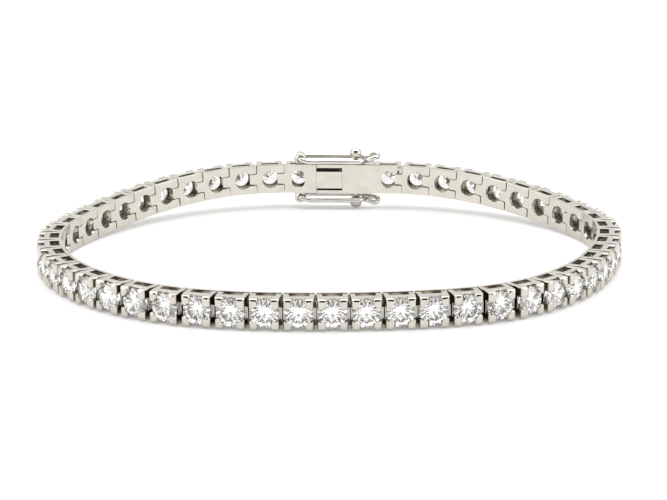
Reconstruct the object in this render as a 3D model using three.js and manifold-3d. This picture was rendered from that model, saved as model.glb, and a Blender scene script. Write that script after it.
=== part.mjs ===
// A closed tennis bracelet that stands on its edge ring, in millimetres, +Z up.
// The origin is the centre of the bounding box, on the surface that the bracelet rests on.
// The clasp lies at the back (+Y) and the stones face outwards.
//
// Each link has a frame of its own: x runs along the chain, anticlockwise seen from above,
// y points in towards the wrist, and z points up. y = 0 is the line through the link joints.

import * as THREE from 'three';
import { mergeVertices } from 'three/addons/utils/BufferGeometryUtils.js';
import Module from 'manifold-3d';

const wasm = await Module();
wasm.setup();

// ---- Chain ----
const LINK_COUNT = 48;
const LINKS_PER_SEGMENT = 6;
const LINK_PITCH = 3.4;
const LINK_GAP = 0.12;

// ---- One link ----
const LINK_LENGTH = LINK_PITCH - LINK_GAP;
const LINK_WIDTH = 3.5;
const CROWN_WIDTH = 3.36;
const WRIST_FACE_Y = 0.5;
const BASE_PLATE = 0.35;
const WINDOW_DEPTH = 1.0;
const RAIL_DEPTH = 0.65;
const PRONG_DEPTH = 0.8;
const BASE_TOP_Y = WRIST_FACE_Y - BASE_PLATE;
const WINDOW_TOP_Y = BASE_TOP_Y - WINDOW_DEPTH;
const SEAT_Y = WINDOW_TOP_Y - RAIL_DEPTH;
const PRONG_TIP_Y = SEAT_Y - PRONG_DEPTH;
const WINDOW_LENGTH = 2.1;
const CHAMBER_WIDTH = 1.9;
const PRONG_LENGTH = 0.88;
const PRONG_WIDTH = 0.95;
const BASE_HOLE_RADIUS = 1.05;
const BASE_HOLE_SIDES = 6;
const TONGUE_WIDTH = 1.2;
const TONGUE_REACH = 0.8;
const TONGUE_SIDE_GAP = 0.16;
const FREE_TONGUE_TOP_Y = -0.42;
const FIXED_TONGUE_TOP_Y = WINDOW_TOP_Y - 0.05;
const TONGUE_FOOT_Y = 0.38;

// ---- One stone ----
const STONE_RADIUS = 1.5;
const STONE_TABLE_RADIUS = 0.85;
const STONE_TABLE_Y = PRONG_TIP_Y + 0.1;
const STONE_SIDES = 8;
const STONE_CLEARANCE = 0.03;

// ---- Plan of the loop: every joint turns by the same angle, and eight bends add to it ----
const FIRST_JOINT = { x: -5.87, y: 32.77 };
const FIRST_HEADING = -172.8;
const JOINT_TURN = 7.807;
const BENDS = [
  { joint: 7.1, reach: 1.4, turn: -3.1 },
  { joint: 10.1, reach: 1.0, turn: 3.4 },
  { joint: 19.7, reach: 1.3, turn: 2.3 },
  { joint: 24.8, reach: 4.1, turn: -5.3 },
  { joint: 29.9, reach: 1.6, turn: 4.2 },
  { joint: 37.2, reach: 2.3, turn: -7.5 },
  { joint: 38.3, reach: 1.9, turn: 9.2 },
  { joint: 43.4, reach: 1.0, turn: -1.8 },
];

// ---- Clasp: x runs from the right-hand joint to the left-hand one ----
const CLASP_WIDTH = 3.6;
const BOX_OUTER_Y = -1.6;
const BOX_WALL = 0.35;
const BOX_START_X = 3.2;
const BOX_HOLLOW_X = 4.0;
const BOX_CUTOUT_X = 7.2;
const BOX_MOUTH_X = 10.1;
const CUTOUT_WIDTH = 2.7;
const MOUTH_GAP = 0.2;
const LEAF_WIDTH = 2.1;
const LEAF_TIP_X = 4.5;
const LEAF_THICKNESS = 0.3;
const LOWER_LEAF_Y = -0.7;
const UPPER_LEAF_Y = -0.15;
const THUMB_PLATE_START_X = 7.3;
const THUMB_PLATE_END_X = 10.2;
const THUMB_PLATE_Y = 0.44;
const THUMB_PLATE_LOW_Z = -1.15;
const THUMB_PLATE_HIGH_Z = 0.89;
const STOP_BLOCK = { length: 0.5, width: 0.95, rise: 0.1 };

// ---- Safety latches and the balls that they snap over ----
const LATCH_Z = 2.35;
const LATCH_MID_Y = -0.55;
const LATCH_HALF_WIDTH = 1.09;
const LATCH_WIRE_RADIUS = 0.25;
const LATCH_WAIST_HALF_WIDTH = 0.18;
const LATCH_HINGE_X = 12.3;
const LATCH_FINGER_X = 3.55;
const LATCH_FINGER_RADIUS = 0.68;
const LATCH_TIP_RISE = 0.6;
const LATCH_WRIST_DROP = 0.24;
const LATCH_LOW_RISE_SHARE = 0.4;
const HINGE_TUBE_RADIUS = 0.7;
const HINGE_TUBE_BORE = 0.45;
const HINGE_TUBE_HALF_LENGTH = 0.65;
const HINGE_SIDES = 10;
const LATCH_PIN_RADIUS = 0.22;
const BALL_X = 5.6;
const BALL_RADIUS = 0.75;
const BALL_Z = 2.97;
const POST_RADIUS = 0.3;

// ---- How the loop rests: front and sides lie flat, and the lower ball props up the back ----
const HALF_WIDTH = LINK_WIDTH / 2;
const BACK_LIFT = BALL_Z + BALL_RADIUS - HALF_WIDTH;
const LIFT_START_Y = 11.7;

const WHITE_GOLD = { color: 0xcfcac0, roughness: 0.18, metalness: 1.0 };
const LATCH_GOLD = { color: 0xd6d3cc, roughness: 0.14, metalness: 1.0 };

// ---------------------------------------------------------------- solids

function solidFrom(geometry) {
  const bare = geometry.clone();
  bare.deleteAttribute('normal');
  bare.deleteAttribute('uv');
  const merged = mergeVertices(bare, 1e-5);
  return new wasm.Manifold(new wasm.Mesh({
    numProp: 3,
    vertProperties: new Float32Array(merged.attributes.position.array),
    triVerts: new Uint32Array(merged.index.array),
  }));
}

function geometryFrom(solid) {
  const mesh = solid.getMesh();
  const geometry = new THREE.BufferGeometry();
  geometry.setAttribute('position', new THREE.BufferAttribute(mesh.vertProperties, 3));
  geometry.setIndex(new THREE.BufferAttribute(mesh.triVerts, 1));
  geometry.computeVertexNormals();
  return geometry;
}

function joined(solids) {
  return solids.reduce((whole, solid) => whole.add(solid));
}

function block(x0, x1, y0, y1, z0, z1) {
  const geometry = new THREE.BoxGeometry(x1 - x0, y1 - y0, z1 - z0);
  geometry.translate((x0 + x1) / 2, (y0 + y1) / 2, (z0 + z1) / 2);
  return geometry;
}

// A block whose z runs the same way up and down from the middle plane.
function slab(x0, x1, y0, y1, width) {
  return block(x0, x1, y0, y1, -width / 2, width / 2);
}

// A round bar along y.
function barAlongY(x, z, radius, y0, y1, sides) {
  const geometry = new THREE.CylinderGeometry(radius, radius, y1 - y0, sides);
  geometry.translate(x, (y0 + y1) / 2, z);
  return geometry;
}

function placed(geometry, frame) {
  return geometry.clone().applyMatrix4(frame);
}

// ---------------------------------------------------------------- link

// The crown of a round brilliant: a flat table and sloping sides, set into the seat.
function stoneGeometry() {
  const sunkY = SEAT_Y + 0.1;
  const profile = [
    new THREE.Vector2(0, STONE_TABLE_Y),
    new THREE.Vector2(STONE_TABLE_RADIUS, STONE_TABLE_Y),
    new THREE.Vector2(STONE_RADIUS, sunkY),
    new THREE.Vector2(0, sunkY),
  ];
  return new THREE.LatheGeometry(profile, STONE_SIDES, Math.PI / STONE_SIDES);
}

// One corner prong, with its inner corner cut back along the stone's edge.
function prongGeometry(along, up) {
  const far = LINK_LENGTH / 2;
  const high = CROWN_WIDTH / 2;
  const stoneFlat = STONE_RADIUS * Math.cos(Math.PI / STONE_SIDES) + STONE_CLEARANCE;
  const cut = stoneFlat * Math.SQRT2;
  const nearX = far - PRONG_LENGTH;
  const nearZ = high - PRONG_WIDTH;
  const outline = new THREE.Shape([
    new THREE.Vector2(along * far, up * high),
    new THREE.Vector2(along * nearX, up * high),
    new THREE.Vector2(along * nearX, up * (cut - nearX)),
    new THREE.Vector2(along * (cut - nearZ), up * nearZ),
    new THREE.Vector2(along * far, up * nearZ),
  ]);
  const sunkY = SEAT_Y + 0.1;
  const prong = new THREE.ExtrudeGeometry(outline, { depth: sunkY - PRONG_TIP_Y, bevelEnabled: false });
  prong.rotateX(-Math.PI / 2);
  prong.translate(0, PRONG_TIP_Y, 0);
  return prong;
}

// A base plate with its hole and slot, side windows, a seat, four prongs and the stone.
function linkSolid({ slot, holeLength }) {
  const far = LINK_LENGTH / 2;
  const body = solidFrom(slab(-far, far, SEAT_Y, WRIST_FACE_Y, LINK_WIDTH));
  const sideWindow = solidFrom(slab(
    -WINDOW_LENGTH / 2, WINDOW_LENGTH / 2, WINDOW_TOP_Y, BASE_TOP_Y, LINK_WIDTH + 1,
  ));
  const chamberRear = slot ? -far - 0.5 : -WINDOW_LENGTH / 2;
  const chamber = solidFrom(slab(
    chamberRear, WINDOW_LENGTH / 2, WINDOW_TOP_Y, BASE_TOP_Y, CHAMBER_WIDTH,
  ));
  const hole = barAlongY(0, 0, BASE_HOLE_RADIUS, BASE_TOP_Y - 0.2, WRIST_FACE_Y + 0.2, BASE_HOLE_SIDES);
  hole.scale(holeLength, 1, 1);
  let link = body.subtract(sideWindow).subtract(chamber).subtract(solidFrom(hole));
  if (slot) {
    link = link.subtract(solidFrom(slab(
      -far - 0.5, -BASE_HOLE_RADIUS / 2, BASE_TOP_Y - 0.2, WRIST_FACE_Y + 0.2,
      TONGUE_WIDTH + 2 * TONGUE_SIDE_GAP,
    )));
  }
  const prongs = [[1, 1], [1, -1], [-1, -1], [-1, 1]].map(([along, up]) => prongGeometry(along, up));
  return joined([link, ...prongs.map(solidFrom), solidFrom(stoneGeometry())]);
}

// The tongue at the forward end, in the next link's slot. A fixed one reaches up to that link's seat,
// so that the two links are one solid, and a free one keeps clear of it.
function tongueGeometry({ fixed }) {
  const root = LINK_LENGTH / 2 - 0.3;
  const tip = LINK_PITCH / 2 + TONGUE_REACH;
  const top = fixed ? FIXED_TONGUE_TOP_Y : FREE_TONGUE_TOP_Y;
  return slab(root, tip, top, TONGUE_FOOT_Y, TONGUE_WIDTH);
}

// ---------------------------------------------------------------- loop

function turnAtJoint(joint) {
  const extra = BENDS.map((bend) => bend.turn * Math.exp(-(((joint - bend.joint) / bend.reach) ** 2)));
  return THREE.MathUtils.degToRad(JOINT_TURN + extra.reduce((sum, turn) => sum + turn, 0));
}

// The joints in order, from the clasp's left end round the front to its right end.
function chainJoints() {
  const joints = [new THREE.Vector3(FIRST_JOINT.x, FIRST_JOINT.y, 0)];
  let heading = THREE.MathUtils.degToRad(FIRST_HEADING);
  for (let link = 1; link <= LINK_COUNT; link += 1) {
    const last = joints[joints.length - 1];
    const step = new THREE.Vector3(Math.cos(heading), Math.sin(heading), 0);
    joints.push(last.clone().addScaledVector(step, LINK_PITCH));
    heading += turnAtJoint(link);
  }
  const claspY = Math.min(joints[0].y, joints[LINK_COUNT].y);
  for (const joint of joints) {
    const climb = THREE.MathUtils.clamp((joint.y - LIFT_START_Y) / (claspY - LIFT_START_Y), 0, 1);
    joint.z = HALF_WIDTH + BACK_LIFT * climb * climb;
  }
  return joints;
}

// The frame of a piece that runs from one joint to another, with its origin at `origin`.
function frameBetween(from, to, origin) {
  const along = to.clone().sub(from).normalize();
  const inward = new THREE.Vector3(-along.y, along.x, 0).normalize();
  const up = new THREE.Vector3().crossVectors(along, inward);
  return new THREE.Matrix4().makeBasis(along, inward, up).setPosition(origin);
}

function chainSegmentSolid(joints, firstLink) {
  const link = geometryFrom(linkSolid({ slot: true, holeLength: 1 }));
  const lastLink = firstLink + LINKS_PER_SEGMENT - 1;
  const solids = [];
  for (let number = firstLink; number <= lastLink; number += 1) {
    const from = joints[number];
    const to = joints[number + 1];
    const frame = frameBetween(from, to, from.clone().add(to).multiplyScalar(0.5));
    const tongue = tongueGeometry({ fixed: number < lastLink });
    solids.push(solidFrom(placed(link, frame)), solidFrom(placed(tongue, frame)));
  }
  return joined(solids);
}

// ---------------------------------------------------------------- clasp

// Ball and post on one side face of the box; side is 1 for the upper face and -1 for the lower.
function catchBallSolid(side) {
  const ball = new THREE.SphereGeometry(BALL_RADIUS, 10, 7);
  ball.rotateX(Math.PI / 2);
  ball.translate(BALL_X, LATCH_MID_Y, side * BALL_Z);
  const post = new THREE.CylinderGeometry(POST_RADIUS, POST_RADIUS, BALL_Z - CLASP_WIDTH / 2 + 0.1, 6);
  post.rotateX(Math.PI / 2);
  post.translate(BALL_X, LATCH_MID_Y, side * (BALL_Z + CLASP_WIDTH / 2 - 0.1) / 2);
  return solidFrom(ball).add(solidFrom(post));
}

// The box with its end stone: open at the mouth and, by the cutout, on the wrist side.
function claspBoxSolid() {
  const stoneLink = linkSolid({ slot: true, holeLength: 0.8 });
  const setting = solidFrom(placed(
    geometryFrom(stoneLink), new THREE.Matrix4().makeTranslation(LINK_PITCH / 2, 0, 0),
  ));
  const shell = solidFrom(slab(BOX_START_X, BOX_MOUTH_X, BOX_OUTER_Y, WRIST_FACE_Y, CLASP_WIDTH));
  const hollow = solidFrom(slab(
    BOX_HOLLOW_X, BOX_MOUTH_X + 1, BOX_OUTER_Y + BOX_WALL, BASE_TOP_Y, CLASP_WIDTH - 2 * BOX_WALL,
  ));
  const cutout = solidFrom(slab(
    BOX_CUTOUT_X, BOX_MOUTH_X + 1, BASE_TOP_Y - 0.2, WRIST_FACE_Y + 1, CUTOUT_WIDTH,
  ));
  const box = shell.subtract(hollow).subtract(cutout);
  return joined([setting, box, catchBallSolid(1), catchBallSolid(-1)]);
}

// A tube soldered to one side face, which the safety latch's pin turns in.
function hingeTubeSolid(side) {
  const y0 = LATCH_MID_Y - HINGE_TUBE_HALF_LENGTH;
  const y1 = LATCH_MID_Y + HINGE_TUBE_HALF_LENGTH;
  const z = side * LATCH_Z;
  const bore = solidFrom(barAlongY(LATCH_HINGE_X, z, HINGE_TUBE_BORE, y0 - 1, y1 + 1, HINGE_SIDES));
  return solidFrom(barAlongY(LATCH_HINGE_X, z, HINGE_TUBE_RADIUS, y0, y1, HINGE_SIDES)).subtract(bore);
}

// The folded spring leaf that snaps into the box, with the plate that the thumb presses.
function springLeafSolid() {
  const rootX = BOX_MOUTH_X + MOUTH_GAP + 0.1;
  const lower = slab(LEAF_TIP_X, rootX, LOWER_LEAF_Y, LOWER_LEAF_Y + LEAF_THICKNESS, LEAF_WIDTH);
  const upper = slab(
    LEAF_TIP_X, THUMB_PLATE_END_X, UPPER_LEAF_Y - LEAF_THICKNESS / 2, UPPER_LEAF_Y + LEAF_THICKNESS / 2,
    LEAF_WIDTH,
  );
  const fold = slab(LEAF_TIP_X, LEAF_TIP_X + LEAF_THICKNESS, LOWER_LEAF_Y, UPPER_LEAF_Y, LEAF_WIDTH);
  const thumbPlate = block(
    THUMB_PLATE_START_X, THUMB_PLATE_END_X, UPPER_LEAF_Y, THUMB_PLATE_Y,
    THUMB_PLATE_LOW_Z, THUMB_PLATE_HIGH_Z,
  );
  return joined([lower, upper, fold, thumbPlate].map(solidFrom));
}

// The end stone with its tongue, the plate that closes the mouth, the spring leaf and the hinge tubes.
function claspTongueSolid(claspLength) {
  const stoneLink = linkSolid({ slot: false, holeLength: 0.75 })
    .add(solidFrom(tongueGeometry({ fixed: false })));
  const setting = solidFrom(placed(
    geometryFrom(stoneLink), new THREE.Matrix4().makeTranslation(claspLength - LINK_PITCH / 2, 0, 0),
  ));
  const plateStartX = BOX_MOUTH_X + MOUTH_GAP;
  const plateEndX = claspLength - LINK_PITCH + 0.2;
  const endPlate = solidFrom(slab(plateStartX, plateEndX, SEAT_Y, WRIST_FACE_Y, LINK_WIDTH));
  const stopTop = CLASP_WIDTH / 2;
  const stopBlock = solidFrom(block(
    plateStartX, plateStartX + STOP_BLOCK.length,
    BASE_TOP_Y, WRIST_FACE_Y + STOP_BLOCK.rise,
    stopTop - STOP_BLOCK.width, stopTop,
  ));
  return joined([setting, endPlate, stopBlock, springLeafSolid(), hingeTubeSolid(1), hingeTubeSolid(-1)]);
}

// The middle line of one half of the latch wire: straight from the pin, round the ball to the waist,
// and round the finger loop, whose tip is raised. hand is 1 for the wrist half and -1 for the outer one.
// Both latches hang a little low on the wrist side, so their finger loops are tilted as well.
function latchRoute(hand, side) {
  const z = side * LATCH_Z;
  const drop = hand > 0 ? -LATCH_WRIST_DROP : 0;
  const rise = side * LATCH_TIP_RISE * (hand === side ? LATCH_LOW_RISE_SHARE : 1);
  const tipRise = side * LATCH_TIP_RISE / 2;
  const pastBall = THREE.MathUtils.degToRad(130);
  const waistX = BALL_X - Math.sqrt(LATCH_HALF_WIDTH ** 2 - LATCH_WAIST_HALF_WIDTH ** 2);
  const stations = [
    { x: LATCH_HINGE_X + LATCH_PIN_RADIUS, out: LATCH_HALF_WIDTH, up: 0 },
    { x: LATCH_HINGE_X - 1, out: LATCH_HALF_WIDTH, up: drop },
    { x: BALL_X, out: LATCH_HALF_WIDTH, up: drop },
    {
      x: BALL_X + LATCH_HALF_WIDTH * Math.cos(pastBall),
      out: LATCH_HALF_WIDTH * Math.sin(pastBall),
      up: drop,
    },
    { x: waistX, out: LATCH_WAIST_HALF_WIDTH, up: drop + 0.1 * rise },
    {
      x: LATCH_FINGER_X + LATCH_FINGER_RADIUS / 2,
      out: 0.85 * LATCH_FINGER_RADIUS,
      up: drop / 2 + 0.5 * rise,
    },
    { x: LATCH_FINGER_X - LATCH_FINGER_RADIUS / 2, out: 0.85 * LATCH_FINGER_RADIUS, up: rise },
    { x: LATCH_FINGER_X - LATCH_FINGER_RADIUS, out: -LATCH_WIRE_RADIUS / 2, up: tipRise },
  ];
  const points = stations.map(({ x, out, up }) => (
    new THREE.Vector3(x, LATCH_MID_Y + hand * out, z + up)
  ));
  return new THREE.CatmullRomCurve3(points, false, 'centripetal');
}

// A figure-eight wire loop on the pin that turns in the hinge tube.
function safetyLatchSolid(side) {
  const section = new THREE.Shape().absarc(0, 0, LATCH_WIRE_RADIUS, 0, 2 * Math.PI);
  const halves = [-1, 1].map((hand) => solidFrom(new THREE.ExtrudeGeometry(section, {
    steps: 20,
    curveSegments: 3,
    extrudePath: latchRoute(hand, side),
    bevelEnabled: false,
  })));
  const pin = solidFrom(barAlongY(
    LATCH_HINGE_X, side * LATCH_Z, LATCH_PIN_RADIUS,
    LATCH_MID_Y - LATCH_HALF_WIDTH, LATCH_MID_Y + LATCH_HALF_WIDTH, HINGE_SIDES,
  ));
  return joined([...halves, pin]);
}

// ---------------------------------------------------------------- bracelet

function namedMesh(name, solid, finish) {
  const mesh = new THREE.Mesh(geometryFrom(solid), new THREE.MeshStandardMaterial(finish));
  mesh.name = name;
  return mesh;
}

function chainMeshes(joints) {
  const meshes = [];
  for (let first = 0; first < LINK_COUNT; first += LINKS_PER_SEGMENT) {
    const name = `chain_segment_${first / LINKS_PER_SEGMENT + 1}`;
    meshes.push(namedMesh(name, chainSegmentSolid(joints, first), WHITE_GOLD));
  }
  return meshes;
}

function claspGroup(joints) {
  const right = joints[LINK_COUNT];
  const left = joints[0];
  const clasp = new THREE.Group();
  clasp.applyMatrix4(frameBetween(right, left, right));
  clasp.add(
    namedMesh('clasp_box', claspBoxSolid(), WHITE_GOLD),
    namedMesh('clasp_tongue', claspTongueSolid(right.distanceTo(left)), WHITE_GOLD),
    namedMesh('safety_latch_upper', safetyLatchSolid(1), LATCH_GOLD),
    namedMesh('safety_latch_lower', safetyLatchSolid(-1), LATCH_GOLD),
  );
  return clasp;
}

function bracelet() {
  const joints = chainJoints();
  const whole = new THREE.Group();
  whole.add(...chainMeshes(joints), claspGroup(joints));
  whole.updateMatrixWorld(true);
  const box = new THREE.Box3().setFromObject(whole, true);
  const middle = box.getCenter(new THREE.Vector3());
  whole.position.set(-middle.x, -middle.y, -box.min.z);
  return whole;
}

export default bracelet();
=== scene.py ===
"""White gold tennis bracelet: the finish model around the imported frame, its stage and its camera."""

import math

import bmesh
import bpy
from bpy.props import FloatProperty, FloatVectorProperty, IntProperty, PointerProperty
from mathutils import Matrix, Vector


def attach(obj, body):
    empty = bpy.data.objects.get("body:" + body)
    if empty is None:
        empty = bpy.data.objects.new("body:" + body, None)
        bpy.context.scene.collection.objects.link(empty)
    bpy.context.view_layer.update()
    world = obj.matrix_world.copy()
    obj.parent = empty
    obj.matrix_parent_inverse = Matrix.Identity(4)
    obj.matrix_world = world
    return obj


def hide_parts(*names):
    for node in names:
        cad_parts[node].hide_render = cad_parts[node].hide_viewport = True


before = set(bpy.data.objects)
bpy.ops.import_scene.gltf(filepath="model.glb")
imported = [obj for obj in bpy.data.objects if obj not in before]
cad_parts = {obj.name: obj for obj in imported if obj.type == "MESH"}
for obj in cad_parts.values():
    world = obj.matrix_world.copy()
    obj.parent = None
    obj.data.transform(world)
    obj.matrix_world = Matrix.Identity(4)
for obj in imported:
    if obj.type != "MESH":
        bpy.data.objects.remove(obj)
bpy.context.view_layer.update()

bl_info = {
    "name": "Tennis Bracelet",
    "version": (1, 0, 0),
    "blender": (4, 5, 0),
    "location": "3D View > Sidebar > Bracelet",
    "description": "Builds a four-prong tennis bracelet with its clasp, safety latches and studio",
    "category": "Add Mesh",
}

MM = 0.001

# ------------------------------------------------------------------ sizes

# Every size below is in millimetres. A link's own frame has x along the chain, y in towards the
# wrist and z up, with y = 0 on the line through the joints.
LINK_COUNT = 48
LINK_PITCH = 3.4
LINK_LENGTH = 3.28
LINK_WIDTH = 3.5
CROWN_WIDTH = 3.36
WRIST_FACE = 0.5
BASE_TOP = 0.15
WINDOW_TOP = -0.85
SEAT = -1.5
PRONG_TIP = -2.29
WINDOW_LENGTH = 2.08
OUTER_TAPER = 0.045
PRONG_LENGTH = 0.98
PRONG_WIDTH = 1.14
# The SHADE_ values are painted shade: how far the colour of a face is darkened where a gap, a side window, a link's
# end or the knuckle lies in shade.
SHADE_WINDOW = 0.3
SHADE_GAP = 0.78
SHADE_END = 0.2
SHADE_PRONG = 0.0
SHADE_KNUCKLE = 0.35
SEAM_GAP = 0.12
HOLE_RADIUS = 1.02
SLOT_HALF = 0.7
TONGUE_HALF = 0.62
TONGUE_REACH = 0.8
TONGUE_TOP = -0.42

# The plan of the loop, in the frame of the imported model.
FIRST_JOINT = (-5.535, 25.12)
FIRST_HEADING = -172.8
JOINT_TURN = 7.807
BENDS = (
    # joint, reach, extra turn in degrees
    (7.1, 1.4, -3.1),
    (10.1, 1.0, 3.4),
    (19.7, 1.3, 2.3),
    (24.8, 4.1, -5.3),
    (29.9, 1.6, 4.2),
    (37.2, 2.3, -7.5),
    (38.3, 1.9, 9.2),
    (43.4, 1.0, -1.8),
)
HALF_WIDTH = LINK_WIDTH / 2
BACK_LIFT = 1.97
LIFT_START = 4.05

# The clasp's frame has x from the right-hand joint to the left-hand one.
CLASP_WIDTH = 3.6
BOX_OUTER = -1.6
BOX_START = 3.3
BOX_CUTOUT = 7.2
BOX_MOUTH = 10.27
PLATE_START = 10.3
CUTOUT_HALF = 1.35
LEAF_HALF = 1.05
LATCH_Z = 2.35
LATCH_MID = -0.55
LATCH_HALF = 1.09
LATCH_WIRE = 0.285
LATCH_WAIST_HALF = 0.18
LATCH_HINGE = 12.3
LATCH_FINGER = 3.55
LATCH_FINGER_RADIUS = 0.68
LATCH_TIP_RISE = 0.6
LATCH_WRIST_DROP = 0.24
LATCH_LOW_RISE_SHARE = 0.4
HINGE_TUBE_RADIUS = 0.7
HINGE_TUBE_BORE = 0.45
HINGE_TUBE_HALF = 0.65
LATCH_PIN = 0.22
BALL_X = 5.6
BALL_RADIUS = 0.745
BALL_Z = 2.97
POST_RADIUS = 0.3


# ------------------------------------------------------------------ settings

class BraceletSettings(bpy.types.PropertyGroup):
    """Sizes and finishes of the chain, the stones and the clasp."""

    stone_diameter: FloatProperty(
        name="Stone diameter", description="Width of each stone across its girdle",
        default=3.04 * MM, min=0.002, max=0.004, unit="LENGTH", subtype="DISTANCE",
    )
    link_play: FloatProperty(
        name="Link play", description="How far each link may be turned on its joint by chance",
        default=math.radians(0.9), min=0.0, max=math.radians(3.0), unit="ROTATION", subtype="ANGLE",
    )
    play_seed: IntProperty(
        name="Play seed", description="Seed of the links' chance turns", default=7, min=0,
    )
    edge_round: FloatProperty(
        name="Edge rounding", description="Width of the polished edges of the settings",
        default=0.05 * MM, min=0.0, max=0.0001, unit="LENGTH", subtype="DISTANCE",
    )
    gold_color: FloatVectorProperty(
        name="Gold colour", description="Colour of the settings and the clasp",
        default=(0.59, 0.562, 0.51), size=3, min=0.0, max=1.0, subtype="COLOR",
    )
    wire_color: FloatVectorProperty(
        name="Wire colour", description="Colour of the safety latches",
        default=(0.66, 0.645, 0.61), size=3, min=0.0, max=1.0, subtype="COLOR",
    )
    gold_roughness: FloatProperty(
        name="Gold roughness", description="Roughness of the polished metal",
        default=0.16, min=0.0, max=1.0, subtype="FACTOR",
    )


class StageSettings(bpy.types.PropertyGroup):
    """The studio: floor, lights and camera."""

    floor_brightness: FloatProperty(
        name="Floor brightness", description="How white the floor is",
        default=0.72, min=0.0, max=1.0, subtype="FACTOR",
    )
    camera_distance: FloatProperty(
        name="Camera distance", description="From the camera to the middle of the view",
        default=297.5 * MM, min=0.05, unit="LENGTH", subtype="DISTANCE",
    )
    camera_elevation: FloatProperty(
        name="Camera elevation", description="Height of the camera above the horizon",
        default=math.radians(14.94), unit="ROTATION", subtype="ANGLE",
    )
    camera_roll: FloatProperty(
        name="Camera roll", description="Turn of the camera about its own axis",
        default=math.radians(-0.29), unit="ROTATION", subtype="ANGLE",
    )
    lens: FloatProperty(
        name="Lens", description="Focal length for a 36 mm wide sensor",
        default=147.5, min=20.0, unit="CAMERA",
    )


# ------------------------------------------------------------------ places

def turn_at_joint(joint):
    extra = sum(turn * math.exp(-((joint - at) / reach) ** 2) for at, reach, turn in BENDS)
    return math.radians(JOINT_TURN + extra)


def chain_joints():
    """The joints in millimetres, from the clasp's left end round the front to its right end."""
    places = [Vector((*FIRST_JOINT, 0.0))]
    heading = math.radians(FIRST_HEADING)
    for link in range(1, LINK_COUNT + 1):
        step = Vector((math.cos(heading), math.sin(heading), 0.0))
        places.append(places[-1] + LINK_PITCH * step)
        heading += turn_at_joint(link)
    clasp_y = min(places[0].y, places[-1].y)
    for place in places:
        climb = min(max((place.y - LIFT_START) / (clasp_y - LIFT_START), 0.0), 1.0)
        place.z = HALF_WIDTH + BACK_LIFT * climb * climb
    return places


def frame_between(start, end, origin):
    """Matrix of a piece that runs from start to end, with its origin at origin."""
    along = (end - start).normalized()
    inward = Vector((-along.y, along.x, 0.0)).normalized()
    up = along.cross(inward)
    turn = Matrix((along, inward, up)).transposed().to_4x4()
    return Matrix.Translation(origin) @ turn


def link_frames():
    joints = chain_joints()
    return [frame_between(a, b, (a + b) / 2) for a, b in zip(joints, joints[1:])]


def clasp_frame():
    joints = chain_joints()
    return frame_between(joints[-1], joints[0], joints[-1])


def clasp_length():
    joints = chain_joints()
    return (joints[0] - joints[-1]).length


# ------------------------------------------------------------------ mesh helpers

def shell_from(outline, low, high, axis="y", bevel=0.0, segments=2):
    """A closed bmesh: an outline of (a, b) points pushed along one axis from low to high.

    With axis y the points are (x, z), with axis z they are (x, y) and with axis x they are (y, z).
    """
    place = {
        "y": lambda a, b, t: (a, t, b),
        "z": lambda a, b, t: (a, b, t),
        "x": lambda a, b, t: (t, a, b),
    }[axis]
    bm = bmesh.new()
    rings = [[bm.verts.new(place(a, b, t)) for a, b in outline] for t in (low, high)]
    bm.faces.new(rings[0])
    bm.faces.new(reversed(rings[1]))
    count = len(outline)
    for i in range(count):
        j = (i + 1) % count
        bm.faces.new((rings[0][i], rings[1][i], rings[1][j], rings[0][j]))
    bmesh.ops.recalc_face_normals(bm, faces=bm.faces)
    if bevel > 0.0:
        bevel_sharp(bm, bevel, segments)
    return bm


def bevel_sharp(bm, width, segments=2, angle=35.0):
    """Rounds every edge that turns by more than the angle."""
    limit = math.radians(angle)
    edges = [e for e in bm.edges if e.is_manifold and e.calc_face_angle(0.0) > limit]
    bmesh.ops.bevel(
        bm, geom=edges, offset=width, segments=segments, profile=0.5,
        affect="EDGES", clamp_overlap=True,
    )


def block(x0, x1, y0, y1, z0, z1, bevel=0.0, segments=2):
    return shell_from([(x0, z0), (x1, z0), (x1, z1), (x0, z1)], y0, y1, "y", bevel, segments)


def arc(centre, radius, start, end, steps, squash=1.0):
    """Points on an arc from start to end, in degrees."""
    points = []
    for i in range(steps + 1):
        angle = math.radians(start + (end - start) * i / steps)
        points.append((centre[0] + squash * radius * math.cos(angle), centre[1] + radius * math.sin(angle)))
    return points


def revolved(profile, centre, sides, axis="y"):
    """A closed bmesh from (radius, place) points turned about an axis through centre.

    A profile that starts and ends on the axis gives a solid, and any other one a ring.
    """
    solid = profile[0][0] == 0.0 and profile[-1][0] == 0.0
    bm = bmesh.new()
    rings = []
    for radius, along in profile:
        count = 1 if radius == 0.0 else sides
        ring = []
        for i in range(count):
            angle = 2 * math.pi * i / sides
            a = radius * math.cos(angle)
            b = radius * math.sin(angle)
            local = {"y": (a, along, b), "z": (a, b, along), "x": (along, a, b)}[axis]
            ring.append(bm.verts.new(Vector(centre) + Vector(local)))
        rings.append(ring)
    pairs = list(zip(rings, rings[1:]))
    if not solid:
        pairs.append((rings[-1], rings[0]))
    for first, second in pairs:
        for i in range(sides):
            j = (i + 1) % sides
            corners = [first[i % len(first)], first[j % len(first)], second[j % len(second)], second[i % len(second)]]
            bm.faces.new(list(dict.fromkeys(corners)))
    bmesh.ops.recalc_face_normals(bm, faces=bm.faces)
    return bm


def merged(parts):
    """One bmesh of several, which it frees."""
    whole = bmesh.new()
    # Every face carries how far its colour is darkened for painted shade.
    whole.faces.layers.float.new("painted_shade")
    for part in parts:
        if part.faces.layers.float.get("painted_shade") is None:
            part.faces.layers.float.new("painted_shade")
        scratch = bpy.data.meshes.new("scratch")
        part.to_mesh(scratch)
        part.free()
        whole.from_mesh(scratch)
        bpy.data.meshes.remove(scratch)
    return whole


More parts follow.
